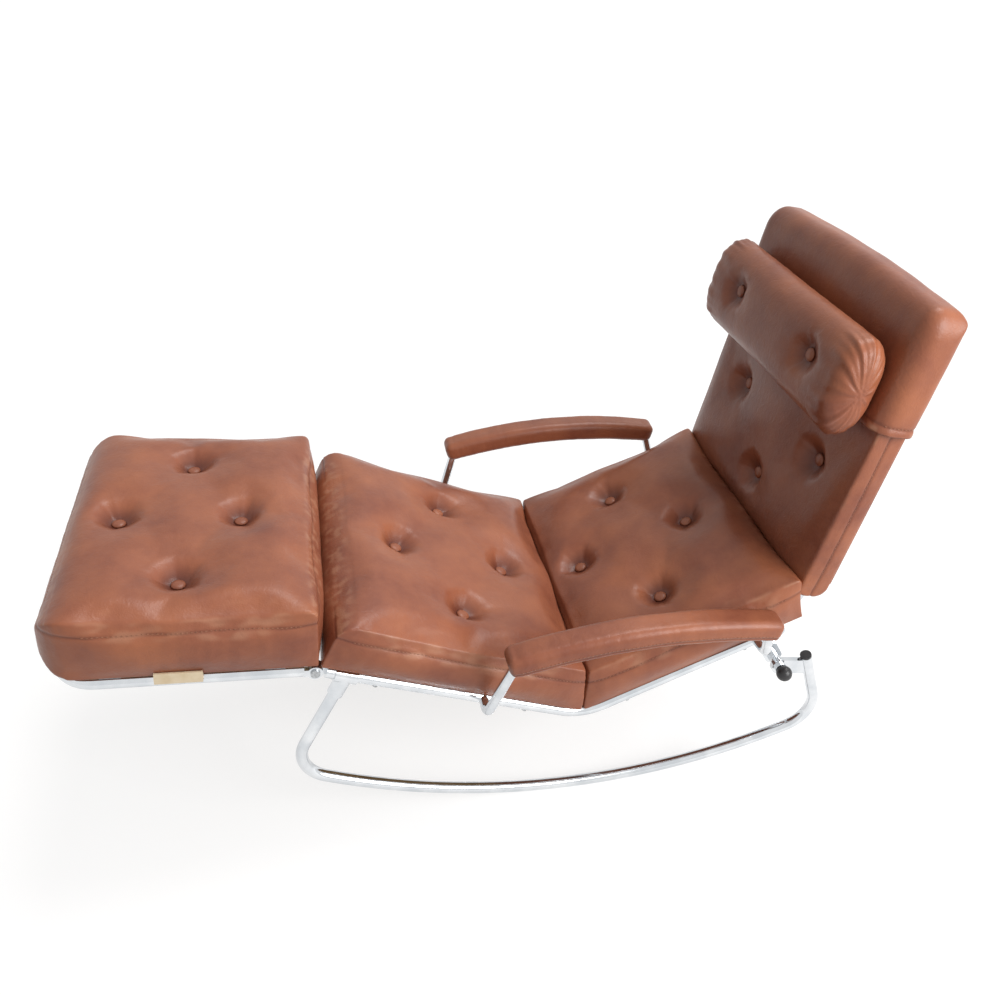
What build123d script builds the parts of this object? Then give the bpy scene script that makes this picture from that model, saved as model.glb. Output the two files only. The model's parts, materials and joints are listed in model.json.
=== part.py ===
"""Rocking lounge chair: bent tube chassis, fold-down footrest, reclining back, sliding headrest hood.

Millimetres, +X to the head end, +Y to the far side, +Z up.
The floor is at zero and the origin lies under the middle of the plan.
"""
import math
import os

from build123d import *

# Cushions
CUSHION_WIDTH = 560.0
LEATHER = 2.0
SOFT_GAP = 0.4
BOARD = 12.0
BACK_BOARD = 18.0
DRAW_IN = 5.0
LEG_SIDE = 76.0
SEAT_SIDE = 78.0
FOOT_SIDE = 94.0
BACK_SIDE = 46.0
SHOULDER = 14.0
SHOULDER_INSET = 20.0
BACK_SHOULDER = 10.0
CROWN = 12.0
CREST_SPARE = 1.5

# Hollows moulded into the light foam of the leg and footrest cushions
CAVITY_PITCH = 72.0
CAVITY_RIB = 10.0
CAVITY_ROOF = 10.0

# Tufts and buttons
BUTTON_DIA = 24.0
BUTTON_HEIGHT = 8.0
TUFT_DEPTH = 20.0
TUFT_REACH = 46.0
TUFT_SINK = 0.4

# Places of the tufts, as shares of a cushion's length and of half its width
LEG_TUFTS = (0.27, 0.49, 0.71)
SEAT_TUFTS = (0.24, 0.5, 0.76)
FOOT_TUFTS = (0.29, 0.51, 0.775)
BACK_TUFTS = (0.165, 0.39)
TUFT_SPREAD = 0.57
FOOT_TUFT_SPREAD = 0.61
BACK_TUFT_SPREAD = 0.535
BOLSTER_TUFT_SPREAD = 0.27

# Tubes
TUBE_DIA = 22.0
TUBE_WALL = 2.0
BAR_WALL = 5.0
BACK_WALL = 3.0
ARM_TUBE_DIA = 18.0
BACK_TUBE_DIA = 20.0
CROSS_TUBE_DIA = 18.0

# Seat rails, in the side view
KNEE_X = -548.0
KNEE_Z = 396.0
LEG_ANGLE = 21.5
SEAT_ANGLE = 24.0
LEG_RUN = 516.0
SEAT_RUN = 403.0
VALLEY_BEND = 110.0
RAIL_EDGE = 1.0
FRONT_CROSS_AT = 150.0
MIDDLE_CROSS_AT = 110.0
LEG_SCREWS_AT = (110.0, 400.0)
SEAT_SCREWS_AT = (90.0, 330.0)
BACK_SCREWS_AT = (90.0, 250.0)
SCREW_DIA = 5.0

# Rockers
ROCKER_RADIUS = 1150.0
ROCKER_X = -44.0
FRONT_JOINT = 53.0
FRONT_ANGLE = 64.0
REAR_TOP_X = 377.0
REAR_TOP_Z = 288.0
REAR_ANGLE = 111.0
ROCKER_BEND = 68.0
TEE_WALL = 3.5
TEE_HALF_LENGTH = 20.0
TEE_DROP = 44.0
TEE_SCREW_AT = 32.0

# Rear cross bar and hinge of the back
BAR_X = 324.0
BAR_Z = 271.0
BAR_OVERHANG = 10.0
BALL_DIA = 30.0
LUG_Y = 238.0
LUG_THICK = 12.0
LUG_WIDTH = 34.0
HINGE_DROP = 10.0
SLEEVE_DIA = 30.0
SLEEVE_LENGTH = 40.0
SLEEVE_Y = 200.0
RUN_GAP = 0.05

# Back
BACK_ANGLE = 80.0
BACK_LENGTH = 556.0
BACK_SEAM_U = 452.0
BACK_SEAM_W = 68.0
BACK_FRAME_RISE = 318.0
BACK_TOP_KEPT = 0.4
BACK_TOP_ROLL = 56.0

# Footrest
FOOT_ANGLE = 4.0
FOOT_LENGTH = 426.0
FOOT_CORNER = 66.0
FOOT_TUBE_END = 400.0
FOOT_BEND = 62.0
FOOT_STRAP = 3.0
KNUCKLE_DIA = 26.0
KNUCKLE_THICK = 9.0
KNUCKLE_GAP = 1.0
TUBE_SETBACK = 18.0
PIN_DIA = 8.0
CLIP_LENGTH = 74.0
STRAP_WIDTH = 32.0
STRAP_FRONT = 64.0
STRAP_REAR = 84.0

# Arms
ARM_Y = 336.0
ARM_FRONT_X = -240.0
ARM_FRONT_Z = 428.0
ARM_REAR_X = 250.0
ARM_REAR_Z = 447.0
ARM_RISE = 58.0
ARM_FRONT_FOOT = 310.0
ARM_REAR_FOOT = 355.0
ARM_STANDOFF = 32.0
PAD_WIDTH = 50.0
PAD_HEIGHT = 40.0

# Headrest
HOOD_HEM = 345.0
BOLSTER_U = 402.0
BOLSTER_HALF = 88.0
BOLSTER_LENGTH = 520.0
BOLSTER_DEPTH = 88.0

HALF = CUSHION_WIDTH / 2
RAIL_Y = HALF - TUBE_DIA / 2 - RAIL_EDGE
TUBE_R = TUBE_DIA / 2
SKIN_IN = LEATHER + SOFT_GAP


def local(x, z, angle):
    """Side-view frame: first axis along the angle, third axis square to it, second axis to the far side."""
    turn = math.radians(angle)
    along = (math.cos(turn), 0, math.sin(turn))
    square = (-math.sin(turn), 0, math.cos(turn))
    return Plane(origin=(x, 0, z), x_dir=along, z_dir=square)


LEG = local(KNEE_X, KNEE_Z, -LEG_ANGLE)
VALLEY = LEG.from_local_coords(Vector(LEG_RUN, 0, 0))
SEAT = local(VALLEY.X, VALLEY.Z, SEAT_ANGLE)
RAIL_END = SEAT.from_local_coords(Vector(SEAT_RUN, 0, 0))
HINGE = SEAT.from_local_coords(Vector(SEAT_RUN, 0, -HINGE_DROP))
SEAM = SEAT.from_local_coords(Vector(BACK_SEAM_U, 0, BACK_SEAM_W))
BACK_DEPTH = BACK_SIDE + BACK_SHOULDER
BACK_REAR = local(SEAM.X, SEAM.Z, BACK_ANGLE).from_local_coords(Vector(0, 0, -BACK_DEPTH))
BACK = local(BACK_REAR.X, BACK_REAR.Z, BACK_ANGLE)
FOOT_TURN = math.radians(FOOT_ANGLE)
FOOT = Plane(
    origin=(KNEE_X, 0, KNEE_Z),
    x_dir=(-math.cos(FOOT_TURN), 0, math.sin(FOOT_TURN)),
    z_dir=(math.sin(FOOT_TURN), 0, math.cos(FOOT_TURN)),
)


def place(plane, shape):
    """Put a piece drawn in a local frame into the chair."""
    return plane.location * shape


def group(shapes):
    """Loose pieces of one kind as one node."""
    return Compound([solid for shape in shapes for solid in shape.solids()])


def both(shape):
    """A piece and its mirror image on the other side of the chair."""
    return group([shape, mirror(shape, about=Plane.XZ)])


def rod(start, end, dia):
    """Round bar between two points."""
    a = Vector(*start)
    b = Vector(*end)
    run = b - a
    middle = a + run * 0.5
    return Plane(origin=middle, z_dir=run).location * Cylinder(dia / 2, run.length)


def tube(path, dia, wall):
    """Bent tube along a line."""
    start = Plane(origin=path @ 0, z_dir=path % 0)
    outer = sweep(start * Circle(dia / 2), path=path)
    inner = sweep(start * Circle(dia / 2 - wall), path=path)
    return outer - inner


def solid_tube(path, dia):
    """The full round of a bent tube, for cutting what it meets."""
    start = Plane(origin=path @ 0, z_dir=path % 0)
    return sweep(start * Circle(dia / 2), path=path)


def side_view(length, low, height, skin, rolls, kept):
    """Length section of a cushion: flat base, rolled ends, level top."""
    top = height - skin
    ends = []
    for roll, share in zip(rolls, kept):
        drop = (1 - share) * height
        bend = (roll**2 + drop**2) / (2 * drop)
        fall = math.sqrt((bend - skin) ** 2 - (roll - skin) ** 2)
        start = math.atan2(fall, skin - roll)
        middle = (start + math.pi / 2) / 2
        reach = roll + (bend - skin) * math.cos(middle)
        rise = height - bend + (bend - skin) * math.sin(middle)
        ends.append((roll, height - bend + fall, reach, rise))
    near_end, far_end = ends
    last = length - skin
    with BuildSketch(Plane.XZ) as sketch:
        with BuildLine():
            Line((skin, low), (skin, near_end[1]))
            ThreePointArc((skin, near_end[1]), (near_end[2], near_end[3]), (near_end[0], top))
            Line((near_end[0], top), (length - far_end[0], top))
            far_top = (length - far_end[0], top)
            ThreePointArc(far_top, (length - far_end[2], far_end[3]), (last, far_end[1]))
            Line((last, far_end[1]), (last, low))
            Line((last, low), (skin, low))
        make_face()
    return sketch.sketch


def cross_view(half, low, side, shoulder, inset, crown, skin):
    """Cross section of a cushion: flat base, upright sides, round shoulders, crowned top."""
    wide = half - skin
    edge = side - skin
    top = edge + shoulder
    bend_y = wide - 0.293 * inset
    bend_z = edge + 0.707 * shoulder
    with BuildSketch(Plane.YZ) as sketch:
        with BuildLine():
            Line((-wide, low), (wide, low))
            Line((wide, low), (wide, edge))
            ThreePointArc((wide, edge), (bend_y, bend_z), (wide - inset, top))
            ThreePointArc((wide - inset, top), (0, top + crown), (inset - wide, top))
            ThreePointArc((inset - wide, top), (-bend_y, bend_z), (-wide, edge))
            Line((-wide, edge), (-wide, low))
        make_face()
    return sketch.sketch


def plan_view(length, half, skin, corners, draw):
    """Plan of a cushion: sides drawn in between rounded corners."""
    first = corners[0] - skin
    second = corners[1] - skin
    a = skin
    b = length - skin
    wide = half - skin
    slack = 1 - 0.7071
    cut = slack * second
    with BuildSketch(Plane.XY) as sketch:
        with BuildLine():
            Line((a, first - wide), (a, wide - first))
            ThreePointArc((a, wide - first), (a + slack * first, wide - slack * first), (a + first, wide))
            if draw > 0:
                ThreePointArc((a + first, wide), (length / 2, wide - draw), (b - second, wide))
                ThreePointArc((b - second, -wide), (length / 2, draw - wide), (a + first, -wide))
            else:
                Line((a + first, wide), (b - second, wide))
                Line((b - second, -wide), (a + first, -wide))
            ThreePointArc((b - second, wide), (b - cut, wide - cut), (b, wide - second))
            Line((b, wide - second), (b, second - wide))
            ThreePointArc((b, second - wide), (b - cut, cut - wide), (b - second, -wide))
            ThreePointArc((a + first, -wide), (a + slack * first, slack * first - wide), (a, first - wide))
        make_face()
    return sketch.sketch


def pad(length, half, side, shoulder, inset, crown, low=0.0, skin=0.0, rolls=(16, 16), kept=(0.8, 0.8),
        corners=(12, 12), draw=DRAW_IN):
    """Cushion body, drawn in by a skin thickness."""
    height = side + shoulder + crown
    crest = height + CREST_SPARE
    long_form = extrude(side_view(length, low, crest, skin, rolls, kept), amount=half, both=True)
    cross_form = extrude(cross_view(half, low, side, shoulder, inset, crown, skin), amount=length)
    plan_face = plan_view(length, half, skin, corners, draw)
    plan_form = Location((0, 0, low)) * extrude(plan_face, amount=2 * height)
    return long_form & cross_form & plan_form


def tuft(u, v, top, skin=0.0):
    """Cutter for one sewn tuft: a flat seat for the button with flared sides."""
    seat = BUTTON_DIA / 2 + 0.5
    flare = TUFT_REACH - seat
    bend = (flare**2 + TUFT_DEPTH**2) / (2 * TUFT_DEPTH)
    end_turn = math.atan2(bend - TUFT_DEPTH, -flare)
    mid_turn = (math.pi / 2 + end_turn) / 2
    radius = bend - skin
    rim = (TUFT_REACH, -skin)
    middle = (TUFT_REACH + radius * math.cos(mid_turn), radius * math.sin(mid_turn) - bend)
    foot = (TUFT_REACH + radius * math.cos(end_turn), radius * math.sin(end_turn) - bend)
    floor = -TUFT_DEPTH - skin
    sky = 40.0
    with BuildSketch(Plane.XZ) as sketch:
        with BuildLine():
            Line((0, sky), (TUFT_REACH, sky))
            Line((TUFT_REACH, sky), rim)
            ThreePointArc(rim, middle, foot)
            if foot[1] - floor > 0.01:
                Line(foot, (foot[0], floor))
            Line((foot[0], min(foot[1], floor)), (0, floor))
            Line((0, floor), (0, sky))
        make_face()
    cutter = revolve(sketch.sketch, axis=Axis.Z)
    return Location((u, v, top)) * cutter


def button(u, v, top):
    """Covered button lying on the floor of its tuft."""
    base = top - TUFT_DEPTH + SOFT_GAP
    rim = BUTTON_DIA / 2
    rise = BUTTON_HEIGHT - 2
    ball_size = (rim**2 + rise**2) / (2 * rise)
    lean = math.asin(rim / ball_size) / 2
    dome = (ball_size * math.sin(lean), BUTTON_HEIGHT - ball_size + ball_size * math.cos(lean))
    with BuildSketch(Plane.XZ) as sketch:
        with BuildLine():
            Line((0, 0), (rim - 1, 0))
            Line((rim - 1, 0), (rim, 2))
            ThreePointArc((rim, 2), dome, (0, BUTTON_HEIGHT))
            Line((0, BUTTON_HEIGHT), (0, 0))
        make_face()
    return Location((u, v, base)) * revolve(sketch.sketch, axis=Axis.Z)


def cavities(u0, u1, half, low, high):
    """Moulded hollows that open at the underside of a light foam."""
    pitch_u = (u1 - u0) / max(1, round((u1 - u0) / CAVITY_PITCH))
    pitch_v = 2 * half / max(1, round(2 * half / CAVITY_PITCH))
    made = []
    at_u = u0 + pitch_u / 2
    while at_u < u1:
        at_v = pitch_v / 2 - half
        while at_v < half:
            block = Box(pitch_u - CAVITY_RIB, pitch_v - CAVITY_RIB, high - low)
            made.append(Location((at_u, at_v, (low + high) / 2)) * block)
            at_v += pitch_v
        at_u += pitch_u
    return made


def tufted(plane, build, spots, base, cut=None, board=BOARD, hollows=None):
    """Cover, foam, board and buttons of one cushion in a local frame, standing on a base level."""
    lift = Location((0, 0, base))
    cover = build(0.0, 0.0)
    hollow = build(-6.0, LEATHER)
    foam = build(board + SOFT_GAP, SKIN_IN)
    for u, v, top in spots:
        cover -= tuft(u, v, top)
        hollow -= tuft(u, v, top, LEATHER)
        foam -= tuft(u, v, top, SKIN_IN)
    shell = cover - hollow
    if hollows is not None:
        first, last, half = hollows
        roof = min(top for u, v, top in spots) - TUFT_DEPTH - SKIN_IN - CAVITY_ROOF
        foam -= cavities(first, last, half, board, roof)
    buttons = [lift * button(u, v, top) for u, v, top in spots]
    shell = place(plane, lift * shell)
    foam = place(plane, lift * foam)
    if cut is not None:
        shell -= cut
        foam -= cut
    return {
        "cover": shell,
        "foam": foam,
        "buttons": place(plane, group(buttons)),
    }


def top_at(side, shoulder, inset, crown, half, v):
    """Height of a cushion top above its base, part way across."""
    return side + shoulder + crown * (1 - (v / (half - inset)) ** 2) - TUFT_SINK


nodes = {}

# Seat rails: knuckle plug, leg run, valley bend, seat run up to the hinge tube
rail_path = FilletPolyline(
    LEG.from_local_coords(Vector(TUBE_SETBACK, -RAIL_Y, 0)),
    Vector(VALLEY.X, -RAIL_Y, VALLEY.Z),
    Vector(RAIL_END.X, -RAIL_Y, RAIL_END.Z),
    radius=VALLEY_BEND,
)
rail_left = tube(rail_path, TUBE_DIA, TUBE_WALL)
rail_full = solid_tube(rail_path, TUBE_DIA)
hinge_span = RAIL_Y
hinge_full = rod((HINGE.X, -hinge_span, HINGE.Z), (HINGE.X, hinge_span, HINGE.Z), TUBE_DIA)
hinge_bore = rod((HINGE.X, -hinge_span, HINGE.Z), (HINGE.X, hinge_span, HINGE.Z), TUBE_DIA - 2 * BAR_WALL)
nodes["hinge_tube"] = hinge_full - hinge_bore
rail_left -= hinge_full

# Front and middle cross tubes
front_cross_at = LEG.from_local_coords(Vector(FRONT_CROSS_AT, 0, 0))
middle_cross_at = SEAT.from_local_coords(Vector(MIDDLE_CROSS_AT, 0, 0))
rails_full = rail_full + mirror(rail_full, about=Plane.XZ)
rail_clear = solid_tube(rail_path, TUBE_DIA + 2 * SOFT_GAP)
rails_clear = rail_clear + mirror(rail_clear, about=Plane.XZ)
for name, spot in (("front_cross_tube", front_cross_at), ("middle_cross_tube", middle_cross_at)):
    a = (spot.X, -RAIL_Y, spot.Z)
    b = (spot.X, RAIL_Y, spot.Z)
    nodes[name] = rod(a, b, CROSS_TUBE_DIA) - rod(a, b, CROSS_TUBE_DIA - 2 * TUBE_WALL) - rails_full

# Rockers: front upright, bend, runner arc, bend, rear upright
joint = LEG.from_local_coords(Vector(FRONT_JOINT, 0, 0))
runner_radius = ROCKER_RADIUS - TUBE_R


def upright_bend(top, angle, inward):
    """Tangent points and bend middle where an upright runs into the runner arc."""
    turn = math.radians(angle)
    dx = -math.cos(turn)
    dz = -math.sin(turn)
    nx = inward * math.sin(turn)
    nz = -inward * math.cos(turn)
    px = top[0] + ROCKER_BEND * nx - ROCKER_X
    pz = top[1] + ROCKER_BEND * nz - ROCKER_RADIUS
    half_b = px * dx + pz * dz
    rest = px**2 + pz**2 - (runner_radius - ROCKER_BEND) ** 2
    run = -half_b + math.sqrt(half_b**2 - rest)
    cx = px + run * dx
    cz = pz + run * dz
    reach = math.hypot(cx, cz)
    on_line = (top[0] + run * dx, top[1] + run * dz)
    on_arc = (ROCKER_X + cx * runner_radius / reach, ROCKER_RADIUS + cz * runner_radius / reach)
    centre = (ROCKER_X + cx, ROCKER_RADIUS + cz)
    mx = (on_line[0] + on_arc[0]) / 2 - centre[0]
    mz = (on_line[1] + on_arc[1]) / 2 - centre[1]
    size = math.hypot(mx, mz)
    middle = (centre[0] + mx * ROCKER_BEND / size, centre[1] + mz * ROCKER_BEND / size)
    return on_line, middle, on_arc


front_top = (joint.X, joint.Z)
rear_top = (REAR_TOP_X, REAR_TOP_Z)
front_line, front_mid, front_arc = upright_bend(front_top, FRONT_ANGLE, 1)
rear_line, rear_mid, rear_arc = upright_bend(rear_top, REAR_ANGLE, -1)


def near(point):
    """A side-view point on the near rocker's plane."""
    return (point[0], -RAIL_Y, point[1])


lowest = (ROCKER_X, ROCKER_RADIUS - runner_radius)
rocker_path = Wire(
    [
        Edge.make_line(near(front_top), near(front_line)),
        Edge.make_three_point_arc(near(front_line), near(front_mid), near(front_arc)),
        Edge.make_three_point_arc(near(front_arc), near(lowest), near(rear_arc)),
        Edge.make_three_point_arc(near(rear_arc), near(rear_mid), near(rear_line)),
        Edge.make_line(near(rear_line), near(rear_top)),
    ]
)
rocker_left = tube(rocker_path, TUBE_DIA, TUBE_WALL) - rail_full
rocker_full = solid_tube(rocker_path, TUBE_DIA)
nodes["rocker_left"] = rocker_left
nodes["rocker_right"] = mirror(rocker_left, about=Plane.XZ)

# Tee clamps between front uprights and rails
tee_dia = TUBE_DIA + 2 * TEE_WALL
tee_along = rod(
    LEG.from_local_coords(Vector(FRONT_JOINT - TEE_HALF_LENGTH, -RAIL_Y, 0)),
    LEG.from_local_coords(Vector(FRONT_JOINT + TEE_HALF_LENGTH, -RAIL_Y, 0)),
    tee_dia,
)
down_x = -math.cos(math.radians(FRONT_ANGLE))
down_z = -math.sin(math.radians(FRONT_ANGLE))
tee_down = rod(
    (joint.X, -RAIL_Y, joint.Z),
    (joint.X + TEE_DROP * down_x, -RAIL_Y, joint.Z + TEE_DROP * down_z),
    tee_dia,
)
seat_plane = TUBE_R - SOFT_GAP
above_rail = place(LEG, Location((FRONT_JOINT, -RAIL_Y, seat_plane + 20)) * Box(120, 60, 40))
tee = tee_along + tee_down - rail_full - rocker_full - above_rail
screw_at = Vector(joint.X + TEE_SCREW_AT * down_x, -RAIL_Y, joint.Z + TEE_SCREW_AT * down_z)
screw_tip = TUBE_R + 0.2
screw_head = tee_dia / 2 + 2.5
tee_screw = rod(
    (screw_at.X, screw_at.Y + screw_tip, screw_at.Z),
    (screw_at.X, screw_at.Y + screw_head, screw_at.Z),
    SCREW_DIA + 1,
)
tee -= tee_screw
nodes["tee_clamps"] = both(tee)
nodes["tee_screws"] = both(tee_screw)

# Rear cross bar with ball ends, brackets on the uprights, caps on their tops
bar_half = RAIL_Y + BAR_OVERHANG
bar_full = rod((BAR_X, -bar_half, BAR_Z), (BAR_X, bar_half, BAR_Z), TUBE_DIA)
bar_bore = rod((BAR_X, -bar_half, BAR_Z), (BAR_X, bar_half, BAR_Z), TUBE_DIA - 2 * BAR_WALL)
nodes["rear_cross_bar"] = bar_full - bar_bore
ball = Location((BAR_X, -bar_half - BALL_DIA * 0.4, BAR_Z)) * Sphere(BALL_DIA / 2)
ball_trim = rod((BAR_X, -bar_half, BAR_Z), (BAR_X, -bar_half + BALL_DIA, BAR_Z), BALL_DIA * 2)
ball_plug = rod((BAR_X, -bar_half - 2, BAR_Z), (BAR_X, -bar_half + 14, BAR_Z), TUBE_DIA - 2 * BAR_WALL)
nodes["bar_balls"] = both(ball - ball_trim + ball_plug)
up_x = math.cos(math.radians(REAR_ANGLE))
up_z = math.sin(math.radians(REAR_ANGLE))
hold_run = (BAR_Z - REAR_TOP_Z - 10) / up_z
hold_x = REAR_TOP_X + hold_run * up_x
hold_z = REAR_TOP_Z + hold_run * up_z
reach_x = hold_x - BAR_X
reach_z = hold_z - BAR_Z
bracket_plane = Plane(
    origin=((hold_x + BAR_X) / 2, -RAIL_Y, (hold_z + BAR_Z) / 2),
    x_dir=(reach_x, 0, reach_z),
    z_dir=(0, -1, 0),
)
bracket_face = SlotCenterToCenter(math.hypot(reach_x, reach_z), TUBE_DIA + 12)
bracket = bracket_plane.location * extrude(bracket_face, amount=5, both=True)
bracket = (bracket - bar_full - rocker_full).solids().sort_by(SortBy.VOLUME)[-1]
nodes["bar_brackets"] = both(bracket)
cap_at = (REAR_TOP_X, -RAIL_Y, REAR_TOP_Z)
cap_top = (REAR_TOP_X + 4 * up_x, -RAIL_Y, REAR_TOP_Z + 4 * up_z)
cap_foot = (REAR_TOP_X - 14 * up_x, -RAIL_Y, REAR_TOP_Z - 14 * up_z)
cap = rod(cap_at, cap_top, TUBE_DIA) + rod(cap_foot, cap_at, TUBE_DIA - 2 * TUBE_WALL)
nodes["upright_caps"] = both(cap)

# Lug plates from rails to rear bar
lug_top = SEAT.from_local_coords(Vector(SEAT_RUN - 34, 0, 0))
lug_reach_x = lug_top.X - BAR_X
lug_reach_z = lug_top.Z - BAR_Z
lug_plane = Plane(
    origin=((lug_top.X + BAR_X) / 2, -LUG_Y, (lug_top.Z + BAR_Z) / 2),
    x_dir=(lug_reach_x, 0, lug_reach_z),
    z_dir=(0, -1, 0),
)
lug_face = SlotCenterToCenter(math.hypot(lug_reach_x, lug_reach_z), LUG_WIDTH)
lug = lug_plane.location * extrude(lug_face, amount=LUG_THICK / 2, both=True)
tie = rod((lug_top.X, -RAIL_Y, lug_top.Z), (lug_top.X, -LUG_Y, lug_top.Z), CROSS_TUBE_DIA)
under_seat = place(SEAT, Location((SEAT_RUN, -LUG_Y, seat_plane + 20)) * Box(200, 90, 40))
lug = lug + tie - rail_full - bar_full - under_seat - hinge_full
nodes["lug_plates"] = both(lug)

# Knee knuckles: rail half inside, footrest half outside, pin through both
knuckle_in = -RAIL_Y + KNUCKLE_GAP / 2
knuckle_out = -RAIL_Y - KNUCKLE_GAP / 2
plug_dia = TUBE_DIA - 2 * TUBE_WALL
plug_run = TUBE_SETBACK + 26


def knuckle(plane, face, way):
    """Flat eye with a plug for the tube end, in a local frame whose first axis runs along the tube."""
    centre = face + way * KNUCKLE_THICK / 2
    eye = Location((0, centre, 0), (90, 0, 0)) * Cylinder(KNUCKLE_DIA / 2, KNUCKLE_THICK)
    neck = Location((TUBE_SETBACK / 2, centre, 0)) * Box(TUBE_SETBACK, KNUCKLE_THICK, plug_dia * 0.8)
    stop = Location((TUBE_SETBACK - 1, face + way * 4.5, 0)) * Box(2, 9, plug_dia * 0.8)
    plug = rod((TUBE_SETBACK, way_y(plane), 0), (plug_run, way_y(plane), 0), plug_dia)
    return eye + neck + stop + plug


def way_y(plane):
    """Second coordinate of the near tube in a local frame."""
    return -RAIL_Y if plane.y_dir.Y > 0 else RAIL_Y


rail_knuckle = place(LEG, knuckle(LEG, knuckle_in, 1))
foot_knuckle = place(FOOT, knuckle(FOOT, -knuckle_out, 1))
pin_in = knuckle_in + KNUCKLE_THICK
pin_out = knuckle_out - KNUCKLE_THICK
pin_shaft = rod((KNEE_X, pin_out, KNEE_Z), (KNEE_X, pin_in + 1, KNEE_Z), PIN_DIA)
pin_head = rod((KNEE_X, pin_out - 3, KNEE_Z), (KNEE_X, pin_out, KNEE_Z), PIN_DIA * 2)
pin_tail = rod((KNEE_X, pin_in + 0.5, KNEE_Z), (KNEE_X, pin_in + 4.5, KNEE_Z), PIN_DIA * 1.8)
pin_full = pin_shaft + pin_head + pin_tail
run_hole = rod((KNEE_X, pin_out, KNEE_Z), (KNEE_X, pin_in + 1, KNEE_Z), PIN_DIA + 2 * RUN_GAP)
nodes["knee_knuckles"] = both(rail_knuckle - run_hole)
nodes["footrest_knuckles"] = both(foot_knuckle - pin_shaft)
nodes["knee_pins"] = both(pin_full)

# Footrest tube, straps and clips
foot_path = FilletPolyline(
    FOOT.from_local_coords(Vector(TUBE_SETBACK, -RAIL_Y, 0)),
    FOOT.from_local_coords(Vector(FOOT_TUBE_END, -RAIL_Y, 0)),
    FOOT.from_local_coords(Vector(FOOT_TUBE_END, RAIL_Y, 0)),
    FOOT.from_local_coords(Vector(TUBE_SETBACK, RAIL_Y, 0)),
    radius=FOOT_BEND,
)
nodes["footrest_tube"] = tube(foot_path, TUBE_DIA, TUBE_WALL)
foot_full = solid_tube(foot_path, TUBE_DIA)
foot_base = TUBE_R + FOOT_STRAP
strap = Box(STRAP_WIDTH, 2 * RAIL_Y + TUBE_DIA * 0.4, FOOT_STRAP - SOFT_GAP / 2)
strap_z = TUBE_R + FOOT_STRAP / 2 - SOFT_GAP / 4
straps = [Location((at, 0, strap_z)) * strap for at in (STRAP_FRONT, FOOT_TUBE_END - STRAP_REAR)]
nodes["footrest_straps"] = place(FOOT, group(straps))
clip_at = FOOT_LENGTH / 2
clip_out = HALF + SOFT_GAP
clip_tab = Location((clip_at, clip_out + 1.5, TUBE_R + 3)) * Box(CLIP_LENGTH, 3, 22)
clip_bed = Location((clip_at, (clip_out + 3 + RAIL_Y - 16) / 2, TUBE_R - 1 - SOFT_GAP / 2)) * Box(
    CLIP_LENGTH, clip_out + 3 - RAIL_Y + 16, 8 - SOFT_GAP
)
clip = place(FOOT, clip_tab + clip_bed) - foot_full
nodes["footrest_clips"] = both(clip)

# Arms: bent tube from rail to rail, foam and leather sleeve round its upper run
arm_foot_front = LEG.from_local_coords(Vector(ARM_FRONT_FOOT, 0, 0))
arm_foot_rear = SEAT.from_local_coords(Vector(ARM_REAR_FOOT, 0, 0))
arm_out = RAIL_Y + TUBE_R + ARM_STANDOFF
arm_middle = ((ARM_FRONT_X + ARM_REAR_X) / 2, -ARM_Y, (ARM_FRONT_Z + ARM_REAR_Z) / 2 + ARM_RISE)
arm_path = FilletPolyline(
    (arm_foot_front.X, -RAIL_Y, arm_foot_front.Z),
    (arm_foot_front.X, -arm_out, arm_foot_front.Z + 4),
    (ARM_FRONT_X + 24, -ARM_Y, ARM_FRONT_Z + 8),
    arm_middle,
    (ARM_REAR_X - 18, -ARM_Y, ARM_REAR_Z + 5),
    (arm_foot_rear.X, -arm_out, arm_foot_rear.Z + 4),
    (arm_foot_rear.X, -RAIL_Y, arm_foot_rear.Z),
    radius=(22, 30, 760, 30, 22),
)
arm_left = tube(arm_path, ARM_TUBE_DIA, TUBE_WALL) - rail_full
arm_full = solid_tube(arm_path, ARM_TUBE_DIA + 2 * SOFT_GAP)
nodes["arm_tube_left"] = arm_left
nodes["arm_tube_right"] = mirror(arm_left, about=Plane.XZ)
arm_chord = Vector(ARM_REAR_X - ARM_FRONT_X, 0, ARM_REAR_Z - ARM_FRONT_Z)
arm_crest = (arm_middle[0], -ARM_Y, (ARM_FRONT_Z + ARM_REAR_Z) / 2 + ARM_RISE / 2)
pad_line = ThreePointArc((ARM_FRONT_X, -ARM_Y, ARM_FRONT_Z), arm_crest, (ARM_REAR_X, -ARM_Y, ARM_REAR_Z))


def sleeve(trim, inset):
    """Rounded bar along the arm, trimmed at both ends."""
    line = pad_line.trim(trim / arm_chord.length, 1 - trim / arm_chord.length)
    start = Plane(origin=line @ 0, x_dir=(0, 1, 0), z_dir=line % 0)
    face = start * RectangleRounded(PAD_WIDTH - 2 * inset, PAD_HEIGHT - 2 * inset, 15 - inset)
    return sweep(face, path=line)


arm_cover = sleeve(0, 0) - sleeve(LEATHER, LEATHER) - arm_full
arm_foam = sleeve(SKIN_IN, SKIN_IN) - arm_full
nodes["arm_cover_left"] = arm_cover
nodes["arm_cover_right"] = mirror(arm_cover, about=Plane.XZ)
nodes["arm_foam_left"] = arm_foam
nodes["arm_foam_right"] = mirror(arm_foam, about=Plane.XZ)

# Leg and seat cushions, mitred where they meet in the valley
rail_base = TUBE_R + SOFT_GAP
LEG_START = 9.0
leg_length = LEG_RUN - LEG_START + 10
seat_length = BACK_SEAM_U + 10
MITRE_GAP = 1.0


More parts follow.
